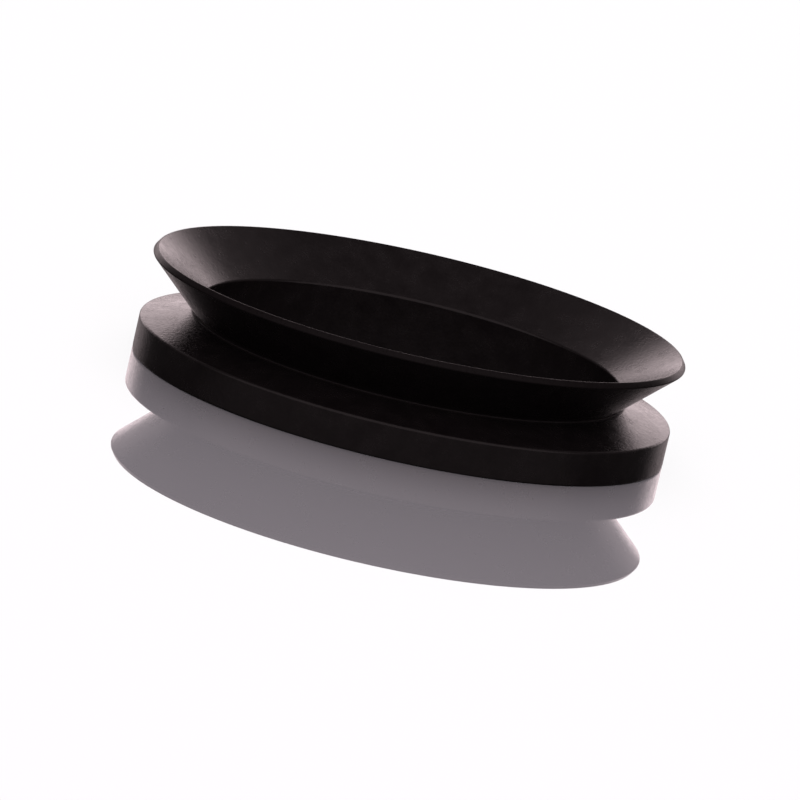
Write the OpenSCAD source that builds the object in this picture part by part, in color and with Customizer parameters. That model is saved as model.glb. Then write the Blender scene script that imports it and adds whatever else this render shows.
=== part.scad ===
// V-ring seal: one ring of moulded rubber, stretched over a shaft.
// Its body grips the shaft and turns with it. The lip is a thin cone, hinged on the front of the body
// by the rubber left under a V groove, and its edge runs on a flat face beside the ring.
// The ring lies on its back face: +Z is the shaft's axis, and the lip is on top.

/* [Body] */
// Bore, before the ring is stretched over its shaft
bore_d = 36; // [20:0.5:90]
// Radial height of the body, from the bore to the outer wall
body_h = 5; // [4:0.1:7]
// Width of the body along the bore
body_w = 5.5; // [4.8:0.1:7]
// Width of the outer wall
wall_w = 3; // [2:0.1:3.4]

/* [Lip] */
// Overall width of the ring, with the lip relaxed
free_w = 9; // [8.2:0.1:11]
// How far the lip's edge stands out past the outer wall
lip_reach = 0.05; // [0:0.05:0.6]
// Thickness of the lip at its square-cut edge
lip_t = 0.6; // [0.4:0.05:1]

/* [Groove] */
// Rubber left between the root of the groove and the bore, where the lip hinges
hinge_t = 0.5; // [0.4:0.05:1.8]
// Slope of the shoulder that faces the lip, in degrees
shoulder_slope = 15; // [8:1:25]

/* [Edge radii] */
// Root of the groove
root_fillet = 0.1; // [0.05:0.05:0.6]
// Shoulder rim, where the outer wall meets the sloped shoulder
shoulder_round = 0.25; // [0.1:0.05:0.6]
// Both edges of the back face
back_round = 0.2; // [0.1:0.05:0.5]
// Heel, where the bore meets the inside of the lip
heel_round = 0.3; // [0.1:0.05:0.6]
// Both edges of the lip
lip_round = 0.12; // [0.06:0.02:0.18]

/* [Hidden] */
$fn = 120;
// Largest turn between two points of a rounding, in degrees
arc_step = 15;

bore_r = bore_d / 2;
lip_h = body_h + lip_reach;
lip_slope = atan2(free_w - body_w, lip_h);
root_w = wall_w + (body_h - hinge_t) * tan(shoulder_slope);

// Corners of the half section before rounding, as [out from the bore, up from the back face, radius]
CORNERS = [
    [0, 0, back_round],
    [body_h, 0, back_round],
    [body_h, wall_w, shoulder_round],
    [hinge_t, root_w, root_fillet],
    [lip_h, free_w - lip_t * cos(lip_slope), lip_round],
    [lip_h - lip_t * sin(lip_slope), free_w, lip_round],
    [0, body_w, heel_round]
];

function point(i) = let(c = CORNERS[(i + len(CORNERS)) % len(CORNERS)]) [c.x, c.y];
function direction(from, to) = (point(to) - point(from)) / norm(point(to) - point(from));

// Points of the arc that rounds corner i and touches both of its sides
function rounding(i) =
    let(
        back = direction(i, i - 1),
        ahead = direction(i, i + 1),
        half_angle = acos(back * ahead) / 2,
        middle = (back + ahead) / norm(back + ahead),
        radius = CORNERS[i].z,
        centre = point(i) + middle * radius / sin(half_angle),
        // The outline turns left at a corner that stands out, and right at the root of the groove
        turn = (180 - 2 * half_angle) * sign(cross(ahead, back)),
        start = atan2(-middle.y, -middle.x) - turn / 2,
        steps = ceil(abs(turn) / arc_step)
    )
    [for (k = [0 : steps]) let(a = start + turn * k / steps) centre + radius * [cos(a), sin(a)]];

module half_section() {
    polygon([for (i = [0 : len(CORNERS) - 1]) each rounding(i)]);
}

module v_ring() {
    color([0.08, 0.075, 0.08]) rotate_extrude() translate([bore_r, 0]) half_section();
}

v_ring();
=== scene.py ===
"""V-ring seal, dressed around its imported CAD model: a ring of matt black rubber on a pale floor."""
import math

import bmesh
import bpy
from mathutils import Matrix, Vector


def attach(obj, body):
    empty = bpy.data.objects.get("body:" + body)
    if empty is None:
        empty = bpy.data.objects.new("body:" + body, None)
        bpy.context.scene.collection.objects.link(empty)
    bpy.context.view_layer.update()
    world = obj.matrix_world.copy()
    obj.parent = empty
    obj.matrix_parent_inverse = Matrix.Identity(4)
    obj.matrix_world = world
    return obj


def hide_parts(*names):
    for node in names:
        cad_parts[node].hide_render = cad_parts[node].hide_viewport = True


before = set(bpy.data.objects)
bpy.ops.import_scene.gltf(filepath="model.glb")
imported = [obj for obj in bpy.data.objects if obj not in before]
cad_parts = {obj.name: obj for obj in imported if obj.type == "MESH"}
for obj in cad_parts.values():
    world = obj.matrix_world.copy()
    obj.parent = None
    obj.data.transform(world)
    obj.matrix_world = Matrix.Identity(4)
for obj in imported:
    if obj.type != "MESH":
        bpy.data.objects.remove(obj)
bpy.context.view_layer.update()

MM = 0.001
FULL_TURN = math.tau
QUARTER_TURN = math.pi / 2

# The ring's section, as in the CAD source, in metres
BORE_R = 18 * MM
BODY_H = 5 * MM
BODY_W = 5.5 * MM
WALL_W = 3 * MM
FREE_W = 9 * MM
LIP_REACH = 0.05 * MM
LIP_T = 0.6 * MM
HINGE_T = 0.5 * MM
SHOULDER_SLOPE = math.radians(15)

LIP_H = BODY_H + LIP_REACH
LIP_SLOPE = math.atan2(FREE_W - BODY_W, LIP_H)
ROOT_W = WALL_W + (BODY_H - HINGE_T) * math.tan(SHOULDER_SLOPE)

# Corners of the half section, as (out from the axis, up from the back face)
BACK_INNER = (BORE_R, 0)
BACK_OUTER = (BORE_R + BODY_H, 0)
SHOULDER_RIM = (BORE_R + BODY_H, WALL_W)
GROOVE_ROOT = (BORE_R + HINGE_T, ROOT_W)
LIP_OUTER = (BORE_R + LIP_H, FREE_W - LIP_T * math.cos(LIP_SLOPE))
LIP_INNER = (BORE_R + LIP_H - LIP_T * math.sin(LIP_SLOPE), FREE_W)
HEEL = (BORE_R, BODY_W)
OUTLINE = [BACK_INNER, BACK_OUTER, SHOULDER_RIM, GROOVE_ROOT, LIP_OUTER, LIP_INNER, HEEL]

# Radius of the rounding at each corner
ROUNDINGS = {
    BACK_INNER: 0.2 * MM,
    BACK_OUTER: 0.2 * MM,
    SHOULDER_RIM: 0.25 * MM,
    GROOVE_ROOT: 0.1 * MM,
    LIP_OUTER: 0.12 * MM,
    LIP_INNER: 0.12 * MM,
    HEEL: 0.3 * MM,
}

# How finely the ring is built. A bevel of this profile is a true arc
RING_STEPS = 288
ROUNDING_STEPS = 6
ROUND_PROFILE = 0.5

# Points this close count as one, and sides that turn less than this, in radians, as one side
SAME_PLACE = 0.001 * MM
STRAIGHT_ANGLE = 0.001

# How firmly the large faces keep their own direction in the shading
BIG_FACES_WEIGH = 100

# Camera, at the photograph's viewing angle and lean, turned and moved up to the ring. Lens and sensor
# are in millimetres, and the ring's middle lies this far right and up from the middle of the view
VIEW_ELEVATION = math.radians(11.82)
VIEW_LEAN = math.radians(12.98)
VIEW_DISTANCE = 601.5 * MM
VIEW_LENS = 320
SENSOR_WIDTH = 36
RING_MIDDLE = Vector((0, 0, FREE_W / 2))
MIDDLE_RIGHT = 0.8 * MM
MIDDLE_UP = 4 * MM

# Colours, as the materials hold them
RUBBER_BLACK = (0.0060, 0.0046, 0.0050, 1)
RUBBER_BLOOM = (0.0090, 0.0072, 0.0077, 1)
TRIMMED_GREY = (0.0080, 0.0064, 0.0068, 1)
SHEET_WHITE = (0.90, 0.855, 0.94, 1)
SHEET_DIM = (0.03, 0.03, 0.03, 1)
PURE_WHITE = (1, 1, 1, 1)
LAMP_WHITE = (1.0, 0.97, 0.97)
BACKDROP_ROSE = (1.0, 0.83, 0.855, 1)

# How many finer layers a noise has, where it isn't cloudy
NOISE_DETAIL = 2.0

# The moulded skin: fine grain, cloudy bloom, and turning lines left by the mould
SKIN_SPECULAR = 0.4
GRAIN_SIZE = 0.26 * MM
GRAIN_DEPTH = 0.018 * MM
GRAIN_SPREAD = (0.35, 0.65)
GRAIN_ROUGHNESS = (-0.05, 0.05)
CLOUD_SIZE = 1.6 * MM
CLOUD_DEPTH = 0.004 * MM
CLOUD_DETAIL = 3.0
CLOUD_SPREAD = (0.32, 0.7)
SKIN_ROUGHNESS = (0.16, 0.26)
MOULD_LINE_PITCH = 0.12 * MM
MOULD_LINE_DEPTH = 0.0012 * MM

# The matt root of the groove: how far from it the skin's own gloss starts to show, and is full
ROOT_ROUGHNESS = 0.7
ROOT_REACH = (0.1 * MM, 0.5 * MM)

# The lip's cut edge
TRIMMED_SPREAD = (0.3, 0.7)
TRIMMED_ROUGHNESS = (0.26, 0.36)
TRIMMED_DEPTH = 0.005 * MM
TRIMMED_SPECULAR = 0.1

# The floor, in metres: how much of a mirror it is to the least and the most slanting looks, how much
# it glows, and how glossy the dim sheet is that the rubber sees in its place
FLOOR_SIZE = 40
MIRROR_LOOKS = (0.35, 0.80)
MIRROR_SHARES = (0.03, 0.86)
MIRROR_ROUGHNESS = 0.0
SHEET_GLOW = 0.17
DIM_GLOSS = 0.25
DIM_ROUGHNESS = 0.1

# What the rubber mirrors, by how far back and how high it lies: a bright backdrop low behind the ring,
# with a haze over it, the front of the studio, and dim walls. To the camera all of it is plain white
BACKDROP_BRIGHT = 1.45
BACKDROP_SIDES = (0.70, 0.92)
BACKDROP_TOP = (0.24, 0.68)
HAZE_BRIGHT = 0.11
HAZE_SIDES = (0.15, 0.60)
HAZE_FOOT = (0.30, 0.50)
FRONT_BRIGHT = 0.45
FRONT_EDGE = (-0.35, 0.1)
STUDIO_DIM = 0.07
PLAIN_BRIGHT = 1.0

# Soft panel lamps: place, width and height in metres, and brightness where 1 is white
PANELS = {
    "top_panel": ((0, 1.5, 3), 4, 4, 1.5),
    "front_panel": ((0, -4, 3), 4, 3, 2.4),
    "back_panel": ((0, 4, 3), 4, 3, 1.2),
}


def deselect_all():
    """An operator acts on all that is selected, so each piece starts with nothing selected."""
    bpy.ops.object.select_all(action="DESELECT")


def select_points(piece, wanted):
    """In edit mode, selects the points whose place passes the test, and what lies between them."""
    mesh = bmesh.from_edit_mesh(piece.data)
    for part in (*mesh.verts, *mesh.edges, *mesh.faces):
        part.select = False
    for point in mesh.verts:
        point.select = wanted(point.co)
    mesh.select_flush(True)
    bmesh.update_edit_mesh(piece.data)


def at(corner):
    """Test for a point at this corner of the section, anywhere round the ring."""
    out, up = corner
    return lambda place: math.hypot(math.hypot(place.x, place.y) - out, place.z - up) < SAME_PLACE


def along_lip(place):
    """How far a place lies from the groove's root, in the direction in which the lip stands out."""
    out = math.hypot(place.x, place.y) - GROOVE_ROOT[0]
    up = place.z - GROOVE_ROOT[1]
    return out * math.cos(LIP_SLOPE) + up * math.sin(LIP_SLOPE)


def move_corner(piece, old, new):
    """Moves a corner of the half section, while it still lies in the XZ plane."""
    select_points(piece, at(old))
    bpy.ops.transform.translate(value=(new[0] - old[0], 0, new[1] - old[1]))


def bevel_length(corner):
    """How far back from the corner its rounding starts, along each side."""
    here = Vector(corner)
    index = OUTLINE.index(corner)
    back = (Vector(OUTLINE[index - 1]) - here).normalized()
    ahead = (Vector(OUTLINE[(index + 1) % len(OUTLINE)]) - here).normalized()
    return ROUNDINGS[corner] / math.tan(back.angle(ahead) / 2)


def draw_half_section():
    """A flat sheet in the XZ plane: the body's block, with the shoulder and the lip drawn out of it."""
    deselect_all()
    middle = (BORE_R + BODY_H / 2, 0, WALL_W / 2)
    bpy.ops.mesh.primitive_plane_add(size=1, location=middle, rotation=(QUARTER_TURN, 0, 0))
    ring = bpy.context.object
    ring.name = "rubber_v_ring"
    ring.scale = (BODY_H, WALL_W, 1)
    bpy.ops.object.transform_apply(location=True, rotation=True, scale=True)
    bpy.ops.object.mode_set(mode="EDIT")
    bpy.ops.mesh.select_mode(type="VERT")
    select_points(ring, lambda place: place.z > WALL_W - SAME_PLACE)
    shoulder_rise = {"value": (0, 0, BODY_W - WALL_W)}
    bpy.ops.mesh.extrude_region_move(TRANSFORM_OT_translate=shoulder_rise)
    move_corner(ring, (BORE_R + BODY_H, BODY_W), GROOVE_ROOT)
    select_points(ring, lambda place: place.z > ROOT_W - SAME_PLACE)
    # Straight up and clear of every corner, before its two ends go to the lip's edge
    lip_rise = {"value": (0, 0, FREE_W)}
    bpy.ops.mesh.extrude_region_move(TRANSFORM_OT_translate=lip_rise)
    move_corner(ring, (GROOVE_ROOT[0], ROOT_W + FREE_W), LIP_OUTER)
    move_corner(ring, (BORE_R, BODY_W + FREE_W), LIP_INNER)
    return ring


def spin_ring(ring):
    """Keeps only the section's outline, and turns it once round the shaft's axis."""
    bpy.ops.mesh.select_all(action="SELECT")
    bpy.ops.mesh.dissolve_limited(angle_limit=STRAIGHT_ANGLE)
    bpy.ops.mesh.select_all(action="SELECT")
    bpy.ops.mesh.delete(type="ONLY_FACE")
    bpy.ops.mesh.select_all(action="SELECT")
    bpy.ops.mesh.spin(steps=RING_STEPS, angle=FULL_TURN, center=(0, 0, 0), axis=(0, 0, 1))
    bpy.ops.mesh.select_all(action="SELECT")
    bpy.ops.mesh.remove_doubles(threshold=SAME_PLACE)
    bpy.ops.mesh.normals_make_consistent(inside=False)


def round_corners(ring):
    """Gives each corner of the section its own radius, all round the ring."""
    for corner in OUTLINE:
        select_points(ring, at(corner))
        length = bevel_length(corner)
        bpy.ops.mesh.bevel(offset=length, segments=ROUNDING_STEPS, profile=ROUND_PROFILE)


def trim_lip_edge(ring):
    """Gives the square-cut edge of the lip its own finish, the last of the ring's materials."""
    ring.data.materials.append(trimmed_rubber())
    ring.active_material_index = len(ring.data.materials) - 1
    lip_end = along_lip(Vector((LIP_OUTER[0], 0, LIP_OUTER[1])))
    edge_start = lip_end - ROUNDINGS[LIP_OUTER]
    select_points(ring, lambda place: along_lip(place) > edge_start)
    bpy.ops.object.material_slot_assign()


def flatten_shading(ring):
    """Shades the flat and conical faces true, and leaves the turn of the light to the roundings."""
    bpy.ops.object.mode_set(mode="OBJECT")
    bpy.ops.object.shade_smooth()
    ring.modifiers.new("true_faces", "WEIGHTED_NORMAL").weight = BIG_FACES_WEIGH
    bpy.ops.object.modifier_apply(modifier="true_faces")


def make_ring():
    """The whole ring, one piece, with its moulded skin and its cut edge."""
    ring = draw_half_section()
    spin_ring(ring)
    round_corners(ring)
    ring.data.materials.append(moulded_rubber())
    trim_lip_edge(ring)
    flatten_shading(ring)
    return ring


def new_material(name):
    """A node material of this name, with its nodes, its links and its main shader."""
    material = bpy.data.materials.new(name)
    material.use_nodes = True
    tree = material.node_tree
    return material, tree, tree.nodes.get("Principled BSDF")


def add_node(tree, kind, values=None, **settings):
    """A node with these settings, and these values on its sockets."""
    node = tree.nodes.new(kind)
    for name, value in settings.items():
        setattr(node, name, value)
    for name, value in (values or {}).items():
        node.inputs[name].default_value = value
    return node


def noise_on(tree, place, grain, detail=NOISE_DETAIL):
    """Noise whose patches are about this many metres across."""
    noise = add_node(tree, "ShaderNodeTexNoise", {"Scale": 1 / grain, "Detail": detail})
    tree.links.new(place, noise.inputs["Vector"])
    return noise.outputs["Fac"]


def remapped(tree, value, old, new, ease="LINEAR"):
    """The value stretched from the old range to the new one, and held at its ends."""
    ends = {"From Min": old[0], "From Max": old[1], "To Min": new[0], "To Max": new[1]}
    node = add_node(tree, "ShaderNodeMapRange", ends, interpolation_type=ease)
    tree.links.new(value, node.inputs["Value"])
    return node.outputs["Result"]


def blended(tree, share, first, second):
    """The first colour turning to the second as the share goes from 0 to 1."""
    node = add_node(tree, "ShaderNodeMix", data_type="RGBA")
    colours = [socket for socket in node.inputs if socket.type == "RGBA"]
    for socket, colour in zip(colours, (first, second)):
        socket.default_value = colour
    tree.links.new(share, node.inputs["Factor"])
    return next(socket for socket in node.outputs if socket.type == "RGBA")


def mixed(tree, share, first, second):
    """The first shader turning to the second as the share goes from 0 to 1."""
    node = add_node(tree, "ShaderNodeMixShader")
    if isinstance(share, float):
        node.inputs["Fac"].default_value = share
    else:
        tree.links.new(share, node.inputs["Fac"])
    tree.links.new(first, node.inputs[1])
    tree.links.new(second, node.inputs[2])
    return node.outputs[0]


def worked_out(tree, operation, first, second):
    """The sum, product or greater of two values."""
    node = add_node(tree, "ShaderNodeMath", operation=operation)
    tree.links.new(first, node.inputs[0])
    tree.links.new(second, node.inputs[1])
    return node.outputs[0]


def section_place(tree, place):
    """Distance from the axis and height over the back face: the same all round the ring."""
    parts = add_node(tree, "ShaderNodeSeparateXYZ")
    tree.links.new(place, parts.inputs[0])
    flat = add_node(tree, "ShaderNodeCombineXYZ")
    tree.links.new(parts.outputs["X"], flat.inputs["X"])
    tree.links.new(parts.outputs["Y"], flat.inputs["Y"])
    out = add_node(tree, "ShaderNodeVectorMath", operation="LENGTH")
    tree.links.new(flat.outputs[0], out.inputs[0])
    joined = add_node(tree, "ShaderNodeCombineXYZ")
    tree.links.new(out.outputs["Value"], joined.inputs["X"])
    tree.links.new(parts.outputs["Z"], joined.inputs["Z"])
    return joined.outputs[0]


def from_root(tree, section):
    """Distance from the root of the groove."""
    node = add_node(tree, "ShaderNodeVectorMath", operation="DISTANCE")
    node.inputs[1].default_value = (GROOVE_ROOT[0], 0, GROOVE_ROOT[1])
    tree.links.new(section, node.inputs[0])
    return node.outputs["Value"]


def bumped(tree, height, depth, under=None):
    """Relief of this depth in metres, laid over another relief where there is one."""
    bump = add_node(tree, "ShaderNodeBump", {"Distance": depth})
    tree.links.new(height, bump.inputs["Height"])
    if under:
        tree.links.new(under, bump.inputs["Normal"])
    return bump.outputs["Normal"]


def moulded_rubber():
    """Matt black rubber: fine grain, faint turning lines left by the mould, and a cloudy bloom."""
    material, tree, shader = new_material("moulded_rubber")
    place = add_node(tree, "ShaderNodeTexCoord").outputs["Object"]
    grain = noise_on(tree, place, GRAIN_SIZE)
    clouds = noise_on(tree, place, CLOUD_SIZE, CLOUD_DETAIL)
    section = section_place(tree, place)
    lines = noise_on(tree, section, MOULD_LINE_PITCH)
    bloom = remapped(tree, clouds, CLOUD_SPREAD, (0, 1))
    tree.links.new(blended(tree, bloom, RUBBER_BLACK, RUBBER_BLOOM), shader.inputs["Base Color"])
    cloudy = remapped(tree, clouds, CLOUD_SPREAD, SKIN_ROUGHNESS)
    grainy = remapped(tree, grain, GRAIN_SPREAD, GRAIN_ROUGHNESS)
    skin = worked_out(tree, "ADD", cloudy, grainy)
    root = remapped(tree, from_root(tree, section), ROOT_REACH, (ROOT_ROUGHNESS, 0))
    tree.links.new(worked_out(tree, "MAXIMUM", skin, root), shader.inputs["Roughness"])
    relief = bumped(tree, clouds, CLOUD_DEPTH)
    relief = bumped(tree, lines, MOULD_LINE_DEPTH, relief)
    relief = bumped(tree, grain, GRAIN_DEPTH, relief)
    tree.links.new(relief, shader.inputs["Normal"])
    shader.inputs["Specular IOR Level"].default_value = SKIN_SPECULAR
    return material


def trimmed_rubber():
    """The lip's cut edge: rougher and duller than the moulded skin, with a grain of its own."""
    material, tree, shader = new_material("trimmed_rubber")
    place = add_node(tree, "ShaderNodeTexCoord").outputs["Object"]
    grain = noise_on(tree, place, GRAIN_SIZE)
    greyness = remapped(tree, grain, TRIMMED_SPREAD, (0, 1))
    tree.links.new(blended(tree, greyness, RUBBER_BLACK, TRIMMED_GREY), shader.inputs["Base Color"])
    roughness = remapped(tree, grain, TRIMMED_SPREAD, TRIMMED_ROUGHNESS)
    tree.links.new(roughness, shader.inputs["Roughness"])
    tree.links.new(bumped(tree, grain, TRIMMED_DEPTH), shader.inputs["Normal"])
    shader.inputs["Specular IOR Level"].default_value = TRIMMED_SPECULAR
    return material


def polished_sheet(tree):
    """The floor as the camera sees it: white, and the more a mirror the more slanting the look at it."""
    paper = add_node(tree, "ShaderNodeBsdfDiffuse", {"Color": SHEET_WHITE})
    glow = add_node(tree, "ShaderNodeEmission", {"Color": SHEET_WHITE, "Strength": SHEET_GLOW})
    sheet = add_node(tree, "ShaderNodeAddShader")
    tree.links.new(paper.outputs[0], sheet.inputs[0])
    tree.links.new(glow.outputs[0], sheet.inputs[1])
    gloss = {"Color": PURE_WHITE, "Roughness": MIRROR_ROUGHNESS}
    mirror = add_node(tree, "ShaderNodeBsdfGlossy", gloss)
    slant = add_node(tree, "ShaderNodeLayerWeight").outputs["Facing"]
    share = remapped(tree, slant, MIRROR_LOOKS, MIRROR_SHARES)
    return mixed(tree, share, sheet.outputs[0], mirror.outputs[0])


def dim_sheet(tree):
    """The floor as the rubber sees it, which keeps the rubber's near side black."""
    paper = add_node(tree, "ShaderNodeBsdfDiffuse", {"Color": SHEET_DIM})
    gloss = add_node(tree, "ShaderNodeBsdfGlossy", {"Color": PURE_WHITE, "Roughness": DIM_ROUGHNESS})
    return mixed(tree, DIM_GLOSS, paper.outputs[0], gloss.outputs[0])


def add_floor():
    """A pale floor, which is a polished sheet to the camera and a dim one to the rubber."""
    deselect_all()
    bpy.ops.mesh.primitive_plane_add(size=FLOOR_SIZE, location=(0, 0, 0))
    floor = bpy.context.object
    floor.name = "floor"
    material, tree, _ = new_material("pale_floor")
    tree.nodes.clear()
    to_camera = add_node(tree, "ShaderNodeLightPath").outputs["Is Camera Ray"]
    seen = mixed(tree, to_camera, dim_sheet(tree), polished_sheet(tree))
    out = add_node(tree, "ShaderNodeOutputMaterial")
    tree.links.new(seen, out.inputs["Surface"])
    floor.data.materials.append(material)


def studio_glow(tree):
    """How bright the studio is in each direction."""
    parts = add_node(tree, "ShaderNodeSeparateXYZ")
    tree.links.new(add_node(tree, "ShaderNodeTexCoord").outputs["Generated"], parts.inputs[0])
    back, up = parts.outputs["Y"], parts.outputs["Z"]
    backdrop = worked_out(tree, "MULTIPLY",
                          remapped(tree, back, BACKDROP_SIDES, (0, BACKDROP_BRIGHT), "SMOOTHSTEP"),
                          remapped(tree, up, BACKDROP_TOP, (1, 0), "SMOOTHSTEP"))
    haze = worked_out(tree, "MULTIPLY",
                      remapped(tree, back, HAZE_SIDES, (0, HAZE_BRIGHT), "SMOOTHSTEP"),
                      remapped(tree, up, HAZE_FOOT, (0, 1), "SMOOTHSTEP"))
    front = remapped(tree, back, FRONT_EDGE, (FRONT_BRIGHT, STUDIO_DIM), "SMOOTHSTEP")
    return worked_out(tree, "ADD", worked_out(tree, "ADD", backdrop, haze), front)


def add_world():
    """Plain white to the camera and in the floor's mirror, and the studio to the rubber."""
    world = bpy.data.worlds.new("studio")
    bpy.context.scene.world = world
    world.use_nodes = True
    tree = world.node_tree
    tree.nodes.clear()
    studio = add_node(tree, "ShaderNodeBackground", {"Color": BACKDROP_ROSE})
    tree.links.new(studio_glow(tree), studio.inputs["Strength"])
    white = add_node(tree, "ShaderNodeBackground", {"Color": PURE_WHITE, "Strength": PLAIN_BRIGHT})
    path = add_node(tree, "ShaderNodeLightPath")
    plain = worked_out(tree, "MAXIMUM", path.outputs["Is Camera Ray"], path.outputs["Is Singular Ray"])
    out = add_node(tree, "ShaderNodeOutputWorld")
    tree.links.new(mixed(tree, plain, studio.outputs[0], white.outputs[0]), out.inputs["Surface"])


def add_panel(name, place, width, height, brightness):
    """A soft panel lamp that faces the ring, this bright where 1 is white, with no glint of its own."""
    deselect_all()
    turn = (-Vector(place)).to_track_quat("-Z", "Y").to_euler()
    bpy.ops.object.light_add(type="AREA", location=place, rotation=turn)
    panel = bpy.context.object
    panel.name = name
    panel.visible_camera = False
    panel.visible_glossy = False
    lamp = panel.data
    lamp.shape = "RECTANGLE"
    lamp.size = width
    lamp.size_y = height
    lamp.color = LAMP_WHITE
    lamp.energy = brightness * math.pi * width * height


def add_lamps():
    """Soft light from above, from the front and from behind."""
    for name, (place, width, height, brightness) in PANELS.items():
        add_panel(name, place, width, height, brightness)


def add_camera():
    """The camera looks down on the ring a little, as in the photograph, and is turned by its lean."""
    deselect_all()
    tilt = Matrix.Rotation(QUARTER_TURN - VIEW_ELEVATION, 3, "X")
    turn = tilt @ Matrix.Rotation(VIEW_LEAN, 3, "Z")
    offset = turn @ Vector((MIDDLE_RIGHT, MIDDLE_UP, -VIEW_DISTANCE))
    bpy.ops.object.camera_add(location=RING_MIDDLE - offset, rotation=turn.to_euler())
    camera = bpy.context.object
    camera.data.lens = VIEW_LENS
    camera.data.sensor_width = SENSOR_WIDTH
    bpy.context.scene.camera = camera


add_camera()
add_floor()
add_world()
add_lamps()
ring = make_ring()
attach(ring, "root")
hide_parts("v_ring")
bpy.context.scene.view_settings.view_transform = "Standard"
